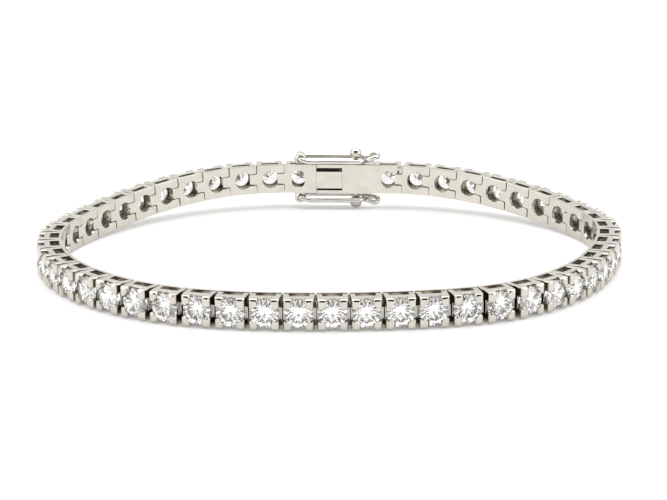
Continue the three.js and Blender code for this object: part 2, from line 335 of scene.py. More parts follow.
def paint_shade(bm, shade):
    """Paints shade into the faces: keeps how far each face is darkened, for the shade in a gap, a window or a hollow.
    """
    layer = bm.faces.layers.float.get("painted_shade") or bm.faces.layers.float.new("painted_shade")
    for face in bm.faces:
        face[layer] = max(face[layer], shade(face.calc_center_median(), face.normal))
    return bm


def moved(bm, matrix):
    bmesh.ops.transform(bm, matrix=matrix, verts=bm.verts)
    return bm


def piece_from(name, bm, material, smooth_angle=18.0):
    """A new object in metres from a bmesh in millimetres."""
    bmesh.ops.transform(bm, matrix=Matrix.Scale(MM, 4), verts=bm.verts)
    mesh = bpy.data.meshes.new(name)
    bm.to_mesh(mesh)
    bm.free()
    if smooth_angle > 0.0:
        mesh.polygons.foreach_set("use_smooth", [True] * len(mesh.polygons))
        mesh.set_sharp_from_angle(angle=math.radians(smooth_angle))
    mesh.materials.append(material)
    piece = bpy.data.objects.new(name, mesh)
    bpy.context.scene.collection.objects.link(piece)
    return piece


# ------------------------------------------------------------------ setting of one stone

def base_plate(edge, slot=True, hole_squash=1.0, notched=False):
    """The plate on the wrist side, with its round hole, and a slot that runs in from the rear."""
    far = (LINK_PITCH - SEAM_GAP) / 2
    high = LINK_WIDTH / 2
    if not slot:
        return plate_with_hole(-far, far, high, HOLE_RADIUS, hole_squash)
    corner = 0.2
    meet = math.degrees(math.asin(SLOT_HALF / HOLE_RADIUS))
    outline = [
        (-far, high),
        *([(-far, high - 0.16), (-far + 0.46, high - 0.16), (-far + 0.5, SLOT_HALF + 0.04)] if notched else
          arc((-far + corner, SLOT_HALF + corner), corner, 180, 270, 4)),
        *arc((0, 0), HOLE_RADIUS, 180 - meet, -180 + meet, 26, hole_squash),
        *arc((-far + corner, -SLOT_HALF - corner), corner, 90, 180, 4),
        (-far, -high), (far, -high), (far, high),
    ]
    return shell_from(outline, BASE_TOP, WRIST_FACE, "y", edge)


def angles_round(steps, half_x, half_z):
    """Even angles once round, with the four corners of a rectangle among them."""
    corner = math.atan2(half_z, half_x)
    angles = [2 * math.pi * (i + 0.5) / steps for i in range(steps)]
    corners = [corner, math.pi - corner, math.pi + corner, 2 * math.pi - corner]
    apart = math.pi / steps * 0.9
    angles = [a for a in angles if min(abs(a - c) for c in corners) > apart]
    return sorted(angles + corners)


def plate_with_hole(x0, x1, high, radius, squash, y0=BASE_TOP, y1=WRIST_FACE, steps=32):
    """A plate in the x, z plane with a hole at x = 0 that is between round and square."""
    bm = bmesh.new()
    power = 3.4
    faces = []
    outer = []
    inner = []
    angles = angles_round(steps, x1, high)
    steps = len(angles)
    for angle in angles:
        c = math.cos(angle)
        s = math.sin(angle)
        reach_x = (x1 if c > 0 else -x0) / max(abs(c), 1e-9)
        reach_z = high / max(abs(s), 1e-9)
        reach = min(reach_x, reach_z)
        outer.append((c * reach, s * reach))
        hole = ((abs(c) / squash) ** power + abs(s) ** power) ** (-1 / power) * radius
        inner.append((hole * c, hole * s))
    layers = []
    for y in (y0, y1):
        layers.append((
            [bm.verts.new((x, y, z)) for x, z in outer],
            [bm.verts.new((x, y, z)) for x, z in inner],
        ))
    for i in range(steps):
        j = (i + 1) % steps
        (low_out, low_in), (high_out, high_in) = layers
        faces.append(bm.faces.new((low_out[i], low_out[j], low_in[j], low_in[i])))
        faces.append(bm.faces.new((high_out[j], high_out[i], high_in[i], high_in[j])))
        faces.append(bm.faces.new((low_out[j], low_out[i], high_out[i], high_out[j])))
        faces.append(bm.faces.new((low_in[i], low_in[j], high_in[j], high_in[i])))
    bmesh.ops.recalc_face_normals(bm, faces=faces)
    return bm


def tongue(edge):
    """The tongue at the forward end, flush with the wrist face and rounded at its root."""
    root = LINK_LENGTH / 2 - 0.35
    seam = LINK_LENGTH / 2
    tip = LINK_PITCH / 2 + TONGUE_REACH
    fillet = 0.17
    half = TONGUE_HALF
    outline = [
        (root, -half - fillet), (seam - 0.02, -half - fillet),
        *arc((seam + fillet, -half - fillet), fillet, 180, 90, 4),
        (tip, -half), (tip, half),
        *arc((seam + fillet, half + fillet), fillet, 270, 180, 4),
        (seam - 0.02, half + fillet), (root, half + fillet),
    ]
    return shell_from(outline, TONGUE_TOP, WRIST_FACE - 0.004, "y", edge)


def side_wall(sign, edge):
    """One side of a setting: a wall with its window, its notch between the prongs, and two posts."""
    far = LINK_LENGTH / 2 - 0.005
    outer = CROWN_WIDTH / 2
    inner = outer - 0.42
    half_window = WINDOW_LENGTH / 2
    post_depth = 0.6
    parts = []
    z0, z1 = sorted((sign * inner, sign * outer))
    for end in (-1, 1):
        x0, x1 = sorted((end * half_window, end * far))
        parts.append(block(x0, x1, WINDOW_TOP - 0.2, BASE_TOP + 0.1, z0, z1, edge))
        p0, p1 = sorted((sign * (outer - post_depth), sign * (outer - 0.05)))
        q0, q1 = sorted((end * (half_window + 0.04), end * (far - 0.03)))
        parts.append(block(q0, q1, WINDOW_TOP - 0.2, BASE_TOP + 0.1, p0, p1))
    return parts


def seat(edge):
    """The gallery rail all round, with the tapered hole that the stone sits in."""
    far = LINK_LENGTH / 2 - 0.002
    outer = CROWN_WIDTH / 2 + 0.004
    angles = angles_round(40, far, outer)
    steps = len(angles)
    top_radius = 1.5
    bottom_radius = 0.9
    bm = bmesh.new()
    rings = {"top_out": [], "top_in": [], "low_out": [], "low_in": []}
    for angle in angles:
        c = math.cos(angle)
        s = math.sin(angle)
        reach = min(far / max(abs(c), 1e-9), outer / max(abs(s), 1e-9))
        rings["top_out"].append(bm.verts.new((c * reach, SEAT, s * reach)))
        rings["top_in"].append(bm.verts.new((c * top_radius, SEAT, s * top_radius)))
        rings["low_out"].append(bm.verts.new((c * reach, WINDOW_TOP, s * reach)))
        rings["low_in"].append(bm.verts.new((c * bottom_radius, WINDOW_TOP, s * bottom_radius)))
    order = ("top_out", "top_in", "low_in", "low_out")
    for first, second in zip(order, order[1:] + order[:1]):
        for i in range(steps):
            j = (i + 1) % steps
            bm.faces.new((rings[first][i], rings[first][j], rings[second][j], rings[second][i]))
    bmesh.ops.recalc_face_normals(bm, faces=bm.faces)
    bevel_sharp(bm, edge * 0.8, 2, 50.0)
    return bm


def prong(along, up, stone_radius):
    """A corner prong: square outside, cut round along the stone, with a flat polished tip."""
    far = LINK_LENGTH / 2
    high = CROWN_WIDTH / 2
    near_x = far - PRONG_LENGTH
    near_z = high - PRONG_WIDTH
    # Every level is its y, the inset of the outer sides and the radius of the cut.
    levels = [(SEAT + 0.12, 0.0, stone_radius - 0.02), (-1.86, 0.0, stone_radius - 0.03)]
    for rise, inset in ((0.27, 0.0), (0.20, 0.02), (0.10, 0.09), (0.0, 0.26)):
        levels.append((PRONG_TIP + rise, inset, stone_radius - 0.16 - 0.3 * inset))
    steps = 7
    bm = bmesh.new()
    rings = []
    for y, inset, cut in levels:
        fx = far - inset
        fz = high - inset
        nx = near_x + inset * 0.5
        nz = near_z + inset * 0.5
        start = math.asin(min(nz / cut, 0.98))
        end = math.acos(min(nx / cut, 0.98))
        if cut * math.cos(start) > fx - 0.04:
            start = math.acos(min((fx - 0.04) / cut, 0.99))
        if cut * math.sin(end) > fz - 0.04:
            end = math.asin(min((fz - 0.04) / cut, 0.99))
        inner = []
        for i in range(steps + 1):
            angle = start + (end - start) * i / steps
            inner.append((cut * math.cos(angle), cut * math.sin(angle)))
        outline = [
            *inner, (nx, max(inner[-1][1] + 0.01, fz - 0.22)), (nx + 0.07, fz - 0.06), (nx + 0.22, fz),
            (fx - 0.10, fz), (fx - 0.03, fz - 0.03), (fx, fz - 0.10),
            (fx, nz + 0.22), (fx - 0.06, nz + 0.07), (max(inner[0][0] + 0.01, fx - 0.22), nz),
        ]
        rings.append([bm.verts.new((along * x, y, up * z)) for x, z in outline])
    count = len(rings[0])
    bm.faces.new(rings[0])
    bm.faces.new(reversed(rings[-1]))
    for low, top in zip(rings, rings[1:]):
        for i in range(count):
            j = (i + 1) % count
            bm.faces.new((low[i], low[j], top[j], top[i]))
    bmesh.ops.recalc_face_normals(bm, faces=bm.faces)
    return bm


def setting(settings, slot=True, with_tongue=True, hole_squash=1.0, notched=False):
    """A whole four-prong setting in millimetres, in its own frame."""
    edge = settings.edge_round / MM
    radius = settings.stone_diameter / MM / 2
    parts = [base_plate(edge, slot, hole_squash, notched), seat(edge)]
    for sign in (-1, 1):
        parts += side_wall(sign, edge)
    for along in (-1, 1):
        for up in (-1, 1):
            parts.append(prong(along, up, radius))
    parts.append(block(
        LINK_LENGTH / 2 - 0.5, LINK_LENGTH / 2 - 0.03, WINDOW_TOP - 0.1, BASE_TOP + 0.1, -1.2, 1.2,
    ))
    parts.append(block(
        -LINK_LENGTH / 2 + 0.03, -LINK_LENGTH / 2 + 0.3, WINDOW_TOP - 0.1, BASE_TOP - 0.05, -1.2, 1.2,
    ))
    whole = merged(parts)
    outer_depth = BASE_TOP - PRONG_TIP
    for vert in whole.verts:
        vert.co.x *= 1 - OUTER_TAPER * min(max((BASE_TOP - vert.co.y) / outer_depth, 0.0), 1.0)
    # Paints shade into the faces at the ends, in the gaps and in the side windows.
    paint_shade(whole, shade_painted_on_setting)
    if with_tongue:
        # The web is a dark sheet across the gap to the next link that stands for the shade in that gap, and the
        # knuckle is painted partly shaded.
        knuckle = block(LINK_LENGTH / 2 - 0.15, LINK_PITCH / 2 + 0.1, SEAT + 0.1, -0.3, -0.6, 0.6)
        shadow_web = block(LINK_LENGTH / 2 - 0.1, LINK_PITCH / 2 + 0.06, -0.36, 0.12, -1.6, 1.6)
        whole = merged([whole, paint_shade(shadow_web, lambda centre, normal: SHADE_GAP),
                        paint_shade(knuckle, lambda centre, normal: SHADE_KNUCKLE), tongue(edge)])
    return whole


def shade_painted_on_setting(centre, normal):
    """How much painted shade a face of a setting gets: the shade in the gap to its neighbour or in a side window."""
    if abs(normal.x) > 0.9 and abs(centre.x) > LINK_LENGTH / 2 - 0.16:
        return SHADE_END if centre.y > SEAT - 0.02 else SHADE_PRONG
    if abs(centre.x) < 1.3 and abs(centre.z) < 1.5 and WINDOW_TOP < centre.y < BASE_TOP:
        return SHADE_WINDOW
    return 0.0


# ------------------------------------------------------------------ stone

def brilliant(diameter):
    """A round brilliant cut stone in millimetres, its table facing out along -y.

    It has a table, stars, kites, upper halves, a thin girdle, lower halves, mains and a culet.
    """
    radius = diameter / 2
    table = 0.6 * radius
    crown = 0.135 * diameter
    girdle = 0.025 * diameter
    pavilion = 0.43 * diameter
    girdle_y = -1.74
    top = girdle_y - girdle / 2 - crown
    bm = bmesh.new()

    def ring(count, rad, y, shift=0.0):
        return [
            bm.verts.new((
                rad * math.cos(2 * math.pi * (i + shift) / count),
                y,
                rad * math.sin(2 * math.pi * (i + shift) / count),
            ))
            for i in range(count)
        ]

    table_ring = ring(8, table, top, 0.0)
    star_radius = table + 0.5 * (radius - table)
    star_y = top + crown * 0.42
    star_ring = ring(8, star_radius * 0.985, star_y, 0.5)
    upper = ring(16, radius, girdle_y - girdle / 2)
    lower = ring(16, radius, girdle_y + girdle / 2)
    deep_radius = radius * 0.24
    deep_y = girdle_y + girdle / 2 + pavilion * 0.735
    deep_ring = ring(8, deep_radius * 1.03, deep_y, 0.5)
    culet = bm.verts.new((0.0, girdle_y + girdle / 2 + pavilion, 0.0))

    bm.faces.new(table_ring)
    for i in range(8):
        j = (i + 1) % 8
        bm.faces.new((table_ring[i], table_ring[j], star_ring[i]))
        prev_star = star_ring[(i - 1) % 8]
        kite = (table_ring[i], star_ring[i], upper[(2 * i) % 16], prev_star)
        bm.faces.new(kite)
        bm.faces.new((star_ring[i], upper[(2 * i) % 16], upper[2 * i + 1]))
        bm.faces.new((star_ring[i], upper[2 * i + 1], upper[(2 * i + 2) % 16]))
        bm.faces.new((deep_ring[i], lower[(2 * i) % 16], lower[2 * i + 1]))
        bm.faces.new((deep_ring[i], lower[2 * i + 1], lower[(2 * i + 2) % 16]))
        prev_deep = deep_ring[(i - 1) % 8]
        bm.faces.new((lower[(2 * i) % 16], deep_ring[i], culet, prev_deep))
    for i in range(16):
        j = (i + 1) % 16
        bm.faces.new((upper[i], upper[j], lower[j], lower[i]))
    bmesh.ops.recalc_face_normals(bm, faces=bm.faces)
    return bm


# ------------------------------------------------------------------ clasp

def clasp_box(settings):
    """The box with its end setting and its two catch balls, in the clasp's frame."""
    edge = settings.edge_round / MM
    high = CLASP_WIDTH / 2
    inside = high - 0.35
    outline = [
        (BOX_START, -high), (BOX_MOUTH, -high), (BOX_MOUTH, -CUTOUT_HALF), (BOX_CUTOUT, -CUTOUT_HALF),
        (BOX_CUTOUT, CUTOUT_HALF), (BOX_MOUTH, CUTOUT_HALF), (BOX_MOUTH, high), (BOX_START, high),
    ]
    end_setting = moved(setting(settings, True, False, 0.8, True), Matrix.Translation((LINK_PITCH / 2, 0, 0)))
    parts = [
        end_setting,
        shell_from(outline, BASE_TOP, WRIST_FACE, "y", edge),
        block(BOX_START, BOX_MOUTH, BOX_OUTER, BOX_OUTER + 0.35, -high + 0.01, high - 0.01, edge),
        block(BOX_START + 0.01, 4.0, BOX_OUTER + 0.1, BASE_TOP + 0.1, -high + 0.02, high - 0.02),
    ]
    for sign in (-1, 1):
        z0, z1 = sorted((sign * inside, sign * (high - 0.005)))
        parts.append(block(BOX_START + 0.02, BOX_MOUTH, BOX_OUTER + 0.2, BASE_TOP + 0.2, z0, z1))
        post = [(0.0, sign * 1.7), (POST_RADIUS * 1.3, sign * 1.7), (POST_RADIUS * 1.3, sign * 1.84),
                (POST_RADIUS, sign * 1.95), (POST_RADIUS, sign * 2.5), (0.0, sign * 2.5)]
        parts.append(revolved(post, (BALL_X, LATCH_MID, 0), 20, "z"))
        turns = [math.pi * i / 18 for i in range(19)]
        ball = [(BALL_RADIUS * math.sin(t), sign * BALL_Z + BALL_RADIUS * math.cos(t)) for t in turns]
        ball[0] = (0.0, ball[0][1])
        ball[-1] = (0.0, ball[-1][1])
        parts.append(revolved(ball, (BALL_X, LATCH_MID, 0), 32, "z"))
    # Paints shade into the hinge bores, inside the box and on the walls of its cut-out.
    return paint_shade(merged(parts), shade_painted_on_clasp)


def shade_painted_on_clasp(centre, normal):
    """How much painted shade a face of the clasp gets: the shade in the hinge bores, inside the box and on the walls
    of its cut-out.
    """
    if math.hypot(centre.x - LATCH_HINGE, abs(centre.z) - LATCH_Z) < HINGE_TUBE_BORE + 0.02:
        return SHADE_GAP
    inside = BOX_START + 0.5 < centre.x < BOX_MOUTH + 0.1 and abs(centre.z) < CUTOUT_HALF + 0.12
    hidden = (centre.y < BASE_TOP or abs(normal.z) > 0.5) and centre.y > BOX_OUTER + 0.1
    return SHADE_GAP if inside and hidden else 0.0


def clasp_tongue(settings):
    """The end setting with the mouth plate, the folded spring leaf, its thumb plate and the hinge tubes."""
    edge = settings.edge_round / MM
    length = clasp_length()
    high = LINK_WIDTH / 2
    end_setting = moved(
        setting(settings, False, True, 0.78), Matrix.Translation((length - LINK_PITCH / 2, 0, 0)),
    )
    parts = [
        end_setting,
        block(PLATE_START, length - LINK_PITCH + 0.1, SEAT, WRIST_FACE, -high, high, edge),
        block(PLATE_START, PLATE_START + 0.5, BASE_TOP, WRIST_FACE + 0.1, high - 0.92, high + 0.04, edge),
        block(BOX_CUTOUT + 0.006, PLATE_START - 0.006, -0.05, WRIST_FACE - 0.008, -1.15, 0.89),
        block(4.5, BOX_CUTOUT + 0.4, -0.3, 0.0, -LEAF_HALF, LEAF_HALF),
        block(4.5, PLATE_START + 0.1, -0.7, -0.4, -LEAF_HALF, LEAF_HALF),
        block(4.5, 4.8, -0.69, -0.01, -LEAF_HALF, LEAF_HALF, edge),
    ]
    for sign in (-1, 1):
        half = HINGE_TUBE_HALF
        tube = [
            (HINGE_TUBE_BORE, -half), (HINGE_TUBE_RADIUS - 0.06, -half), (HINGE_TUBE_RADIUS, -half + 0.06),
            (HINGE_TUBE_RADIUS, half - 0.06), (HINGE_TUBE_RADIUS - 0.06, half), (HINGE_TUBE_BORE, half),
        ]
        parts.append(revolved(tube, (LATCH_HINGE, LATCH_MID, sign * LATCH_Z), 28, "y"))
    # Paints shade into the hinge bores, inside the box and on the walls of its cut-out.
    return paint_shade(merged(parts), shade_painted_on_clasp)


def latch_route(side):
    """The latch's middle line, once round: pin, straight run, ball, waist and finger loop, and back."""
    z = side * LATCH_Z
    waist_x = BALL_X - math.sqrt(LATCH_HALF ** 2 - LATCH_WAIST_HALF ** 2)
    past_ball = math.radians(130)
    run = LATCH_HALF
    # Every place is its distance along, out from the middle, and its shares of the drop and the rise.
    half = [
        (LATCH_HINGE, 0.0, 0.0, 0.0), (LATCH_HINGE, 0.55, 0.0, 0.0), (LATCH_HINGE, run - 0.26, 0.0, 0.0),
        (LATCH_HINGE - 0.07, run - 0.07, 0.0, 0.0), (LATCH_HINGE - 0.26, run, 0.1, 0.0),
        (LATCH_HINGE - 1.0, run, 1.0, 0.0), ((LATCH_HINGE + BALL_X) / 2, run, 1.0, 0.0),
        (BALL_X + 1.0, run, 1.0, 0.0), (BALL_X, run, 1.0, 0.0),
        (BALL_X + run * math.cos(past_ball), run * math.sin(past_ball), 1.0, 0.0),
        (waist_x, LATCH_WAIST_HALF + 0.06, 1.0, 0.1),
        (LATCH_FINGER + LATCH_FINGER_RADIUS / 2, 0.85 * LATCH_FINGER_RADIUS, 0.5, 0.5),
        (LATCH_FINGER - LATCH_FINGER_RADIUS / 2, 0.85 * LATCH_FINGER_RADIUS, 0.0, 1.0),
    ]
    rise = side * LATCH_TIP_RISE
    wrist_share, outer_share = (LATCH_LOW_RISE_SHARE, 1.0) if side > 0 else (1.0, LATCH_LOW_RISE_SHARE)
    there = [
        Vector((x, LATCH_MID + out, z + wrist_share * rise * up - LATCH_WRIST_DROP * down))
        for x, out, down, up in half
    ]
    tip = Vector((LATCH_FINGER - LATCH_FINGER_RADIUS, LATCH_MID, z + rise / 2))
    back = [
        Vector((x, LATCH_MID - out, z + outer_share * rise * up)) for x, out, down, up in reversed(half[1:])
    ]
    return there + [tip] + back


def smooth_loop(points, steps):
    """A closed centripetal curve through the points."""
    count = len(points)
    path = []
    for i in range(count):
        p = [points[(i + k) % count] for k in (-1, 0, 1, 2)]
        knots = [0.0]
        for a, b in zip(p, p[1:]):
            knots.append(knots[-1] + math.sqrt((b - a).length))
        for step in range(steps):
            t = knots[1] + (knots[2] - knots[1]) * step / steps
            row = p
            for level in (1, 2):
                row = [
                    row[j].lerp(row[j + 1], (t - knots[j]) / (knots[j + level] - knots[j]))
                    for j in range(len(row) - 1)
                ]
            path.append(row[0].lerp(row[1], step / steps))
    return path


def wire_loop(path, radius, sides):
    """A closed round wire along a closed path."""
    bm = bmesh.new()
    count = len(path)
    tangents = [(path[(i + 1) % count] - path[i - 1]).normalized() for i in range(count)]
    normal = tangents[0].orthogonal().normalized()
    normals = []
    for tangent in tangents:
        normal = (normal - normal.dot(tangent) * tangent).normalized()
        normals.append(normal)
    rings = []
    for centre, tangent, normal in zip(path, tangents, normals):
        other = tangent.cross(normal)
        rings.append([
            bm.verts.new(centre + radius * (
                math.cos(2 * math.pi * k / sides) * normal + math.sin(2 * math.pi * k / sides) * other
            ))
            for k in range(sides)
        ])
    # The last ring may meet the first one turned by some sides.
    last = rings[-1]
    shift = min(range(sides), key=lambda k: (last[0].co - rings[0][k].co).length)
    for i in range(count):
        j = (i + 1) % count
        offset = shift if j == 0 else 0
        for k in range(sides):
            m = (k + 1) % sides
            bm.faces.new((
                rings[i][k], rings[i][m],
                rings[j][(m + offset) % sides], rings[j][(k + offset) % sides],
            ))
    bmesh.ops.recalc_face_normals(bm, faces=bm.faces)
    return bm


# ------------------------------------------------------------------ materials

def node(tree, kind, place, **values):
    made = tree.nodes.new(kind)
    made.location = place
    for key, value in values.items():
        setattr(made, key, value)
    return made


def gold_wear_and_shade_group():
    """Node group of the wear on polished gold and of its painted shade: colour, roughness and height from object
    coordinates, and the colour darkened by the painted shade of each face.
    """
    name = "Polished gold tone, scratches and painted shade"
    if name in bpy.data.node_groups:
        return bpy.data.node_groups[name]
    tree = bpy.data.node_groups.new(name, "ShaderNodeTree")
    face = tree.interface
    for label, kind, default in (
        ("Colour", "NodeSocketColor", (0.8, 0.77, 0.72, 1.0)),
        ("Roughness", "NodeSocketFloat", 0.16),
        ("Recess", "NodeSocketFloat", 0.0),
        ("Cloud Scale", "NodeSocketFloat", 900.0),
        ("Scratch Scale", "NodeSocketFloat", 9000.0),
    ):
        face.new_socket(label, in_out="INPUT", socket_type=kind).default_value = default
    face.new_socket("Colour", in_out="OUTPUT", socket_type="NodeSocketColor")
    face.new_socket("Roughness", in_out="OUTPUT", socket_type="NodeSocketFloat")
    face.new_socket("Normal", in_out="OUTPUT", socket_type="NodeSocketVector")
    inputs = node(tree, "NodeGroupInput", (-900, 0))
    outputs = node(tree, "NodeGroupOutput", (700, 0))
    coords = node(tree, "ShaderNodeTexCoord", (-900, -300))
    cloud = node(tree, "ShaderNodeTexNoise", (-600, 150))
    cloud.inputs["Detail"].default_value = 4.0
    stretch = node(tree, "ShaderNodeMapping", (-720, -350))
    stretch.inputs["Rotation"].default_value = (0.3, 0.5, 0.2)
    stretch.inputs["Scale"].default_value = (0.12, 1.0, 1.0)
    scratch = node(tree, "ShaderNodeTexNoise", (-500, -350))
    scratch.inputs["Detail"].default_value = 3.0
    links = tree.links
    links.new(coords.outputs["Object"], cloud.inputs["Vector"])
    links.new(inputs.outputs["Cloud Scale"], cloud.inputs["Scale"])
    links.new(coords.outputs["Object"], stretch.inputs["Vector"])
    links.new(stretch.outputs["Vector"], scratch.inputs["Vector"])
    links.new(inputs.outputs["Scratch Scale"], scratch.inputs["Scale"])
    tone = node(tree, "ShaderNodeMapRange", (-300, 200))
    tone.inputs["From Min"].default_value = 0.3
    tone.inputs["From Max"].default_value = 0.7
    tone.inputs["To Min"].default_value = 0.93
    tone.inputs["To Max"].default_value = 1.04
    links.new(cloud.outputs["Fac"], tone.inputs["Value"])
    tinted = node(tree, "ShaderNodeVectorMath", (0, 200), operation="SCALE")
    links.new(inputs.outputs["Colour"], tinted.inputs[0])
    links.new(tone.outputs["Result"], tinted.inputs["Scale"])
    # Painted shade: the colour is darkened towards 0.12 of itself as the painted-shade input goes from 0 to 1.
    dark = node(tree, "ShaderNodeMapRange", (0, 400))
    dark.inputs["To Min"].default_value = 1.0
    dark.inputs["To Max"].default_value = 0.12
    shaded = node(tree, "ShaderNodeVectorMath", (250, 200), operation="SCALE")
    links.new(inputs.outputs["Recess"], dark.inputs["Value"])
    links.new(tinted.outputs["Vector"], shaded.inputs[0])
    links.new(dark.outputs["Result"], shaded.inputs["Scale"])
    links.new(shaded.outputs["Vector"], outputs.inputs["Colour"])
    worn = node(tree, "ShaderNodeMapRange", (-300, -50))
    worn.inputs["From Min"].default_value = 0.35
    worn.inputs["From Max"].default_value = 0.75
    worn.inputs["To Min"].default_value = -0.03
    worn.inputs["To Max"].default_value = 0.08
    links.new(scratch.outputs["Fac"], worn.inputs["Value"])
    rough = node(tree, "ShaderNodeMath", (0, -50), operation="ADD")
    links.new(inputs.outputs["Roughness"], rough.inputs[0])
    links.new(worn.outputs["Result"], rough.inputs[1])
    links.new(rough.outputs["Value"], outputs.inputs["Roughness"])
    bump = node(tree, "ShaderNodeBump", (100, -350))
    bump.inputs["Strength"].default_value = 0.12
    bump.inputs["Distance"].default_value = 0.00001
    links.new(scratch.outputs["Fac"], bump.inputs["Height"])
    links.new(bump.outputs["Normal"], outputs.inputs["Normal"])
    return tree


def metal_material(name, color, roughness, edge_tint):
    material = bpy.data.materials.new(name)
    material.use_nodes = True
    tree = material.node_tree
    shader = tree.nodes["Principled BSDF"]
    shader.inputs["Metallic"].default_value = 1.0
    shader.inputs["Specular Tint"].default_value = (edge_tint, edge_tint, edge_tint, 1.0)
    wear_and_shade = node(tree, "ShaderNodeGroup", (-300, 0), node_tree=gold_wear_and_shade_group())
    # The painted shade of each face comes from the mesh attribute that the shade functions wrote, and darkens the
    # colour in the group.
    painted_shade = node(tree, "ShaderNodeAttribute", (-550, -100), attribute_name="painted_shade")
    tree.links.new(painted_shade.outputs["Fac"], wear_and_shade.inputs["Recess"])
    wear_and_shade.inputs["Colour"].default_value = (*color, 1.0)
    wear_and_shade.inputs["Roughness"].default_value = roughness
    wear_and_shade.inputs["Cloud Scale"].default_value = 900.0
    wear_and_shade.inputs["Scratch Scale"].default_value = 9000.0
    tree.links.new(wear_and_shade.outputs["Colour"], shader.inputs["Base Color"])
    tree.links.new(wear_and_shade.outputs["Roughness"], shader.inputs["Roughness"])
    tree.links.new(wear_and_shade.outputs["Normal"], shader.inputs["Normal"])
    return material


def stone_material(name):
    """Clear stone with a high index and the faintest clouding inside."""
    material = bpy.data.materials.new(name)
    material.use_nodes = True
    tree = material.node_tree
    shader = tree.nodes["Principled BSDF"]
    shader.inputs["Metallic"].default_value = 0.0
    shader.inputs["Transmission Weight"].default_value = 1.0
    shader.inputs["IOR"].default_value = 2.2
    shader.inputs["Roughness"].default_value = 0.0
    coords = node(tree, "ShaderNodeTexCoord", (-800, 0))
    cloud = node(tree, "ShaderNodeTexNoise", (-600, 0))
    cloud.inputs["Scale"].default_value = 700.0
    ramp = node(tree, "ShaderNodeValToRGB", (-350, 0))
    ramp.color_ramp.elements[0].position = 0.3
    ramp.color_ramp.elements[0].color = (0.97, 0.965, 0.95, 1.0)
    ramp.color_ramp.elements[1].position = 0.6
    ramp.color_ramp.elements[1].color = (1.0, 1.0, 1.0, 1.0)
    tree.links.new(coords.outputs["Object"], cloud.inputs["Vector"])
    tree.links.new(cloud.outputs["Fac"], ramp.inputs["Fac"])
    tree.links.new(ramp.outputs["Color"], shader.inputs["Base Color"])
    return material


# ------------------------------------------------------------------ repeats by Geometry Nodes

def repeat_tree(name):
    """Puts a prototype on every point of a mesh, turned as the point says and by a little chance."""
    tree = bpy.data.node_groups.new(name, "GeometryNodeTree")
    face = tree.interface
    face.new_socket("Geometry", in_out="INPUT", socket_type="NodeSocketGeometry")
    face.new_socket("Prototype", in_out="INPUT", socket_type="NodeSocketObject")
    face.new_socket("Material", in_out="INPUT", socket_type="NodeSocketMaterial")
    face.new_socket("Play", in_out="INPUT", socket_type="NodeSocketFloat")
    face.new_socket("Spin", in_out="INPUT", socket_type="NodeSocketFloat")
    face.new_socket("Seed", in_out="INPUT", socket_type="NodeSocketInt")
    face.new_socket("Geometry", in_out="OUTPUT", socket_type="NodeSocketGeometry")
    inputs = node(tree, "NodeGroupInput", (-1000, 0))
    outputs = node(tree, "NodeGroupOutput", (900, 0))
    source = node(tree, "GeometryNodeObjectInfo", (-700, -150), transform_space="ORIGINAL")
    facing = node(tree, "GeometryNodeInputNamedAttribute", (-700, -400), data_type="QUATERNION")
    facing.inputs["Name"].default_value = "facing"
    chance = node(tree, "FunctionNodeRandomValue", (-700, -600), data_type="FLOAT_VECTOR")
    chance.inputs["Min"].default_value = (-0.35, -0.15, -1.0)
    chance.inputs["Max"].default_value = (0.35, 0.15, 1.0)
    scaled = node(tree, "ShaderNodeVectorMath", (-450, -600), operation="SCALE")
    tilt = node(tree, "FunctionNodeEulerToRotation", (-250, -600))
    turn = node(tree, "FunctionNodeRotateRotation", (-50, -400), rotation_space="LOCAL")
    about = node(tree, "FunctionNodeRandomValue", (-450, -850), data_type="FLOAT")
    about.inputs[2].default_value = -1.0
    about.inputs[3].default_value = 1.0
    spun = node(tree, "ShaderNodeMath", (-250, -850), operation="MULTIPLY")
    axis = node(tree, "ShaderNodeCombineXYZ", (-100, -850))
    spin = node(tree, "FunctionNodeEulerToRotation", (50, -850))
    final = node(tree, "FunctionNodeRotateRotation", (100, -400), rotation_space="LOCAL")
    place = node(tree, "GeometryNodeInstanceOnPoints", (250, 0))
    realize = node(tree, "GeometryNodeRealizeInstances", (450, 0))
    paint = node(tree, "GeometryNodeSetMaterial", (680, 0))
    links = tree.links
    links.new(inputs.outputs["Prototype"], source.inputs["Object"])
    links.new(inputs.outputs["Seed"], chance.inputs["Seed"])
    links.new(chance.outputs["Value"], scaled.inputs[0])
    links.new(inputs.outputs["Play"], scaled.inputs["Scale"])
    links.new(scaled.outputs["Vector"], tilt.inputs["Euler"])
    links.new(facing.outputs["Attribute"], turn.inputs["Rotation"])
    links.new(tilt.outputs["Rotation"], turn.inputs["Rotate By"])
    links.new(inputs.outputs["Geometry"], place.inputs["Points"])
    links.new(source.outputs["Geometry"], place.inputs["Instance"])
    links.new(inputs.outputs["Seed"], about.inputs["Seed"])
    links.new(about.outputs[1], spun.inputs[0])
    links.new(inputs.outputs["Spin"], spun.inputs[1])
    links.new(spun.outputs["Value"], axis.inputs["Y"])
    links.new(axis.outputs["Vector"], spin.inputs["Euler"])
    links.new(turn.outputs["Rotation"], final.inputs["Rotation"])
    links.new(spin.outputs["Rotation"], final.inputs["Rotate By"])
    links.new(final.outputs["Rotation"], place.inputs["Rotation"])
    links.new(place.outputs["Instances"], realize.inputs["Geometry"])
    links.new(realize.outputs["Geometry"], paint.inputs["Geometry"])
    links.new(inputs.outputs["Material"], paint.inputs["Material"])
    links.new(paint.outputs["Geometry"], outputs.inputs["Geometry"])
    return tree


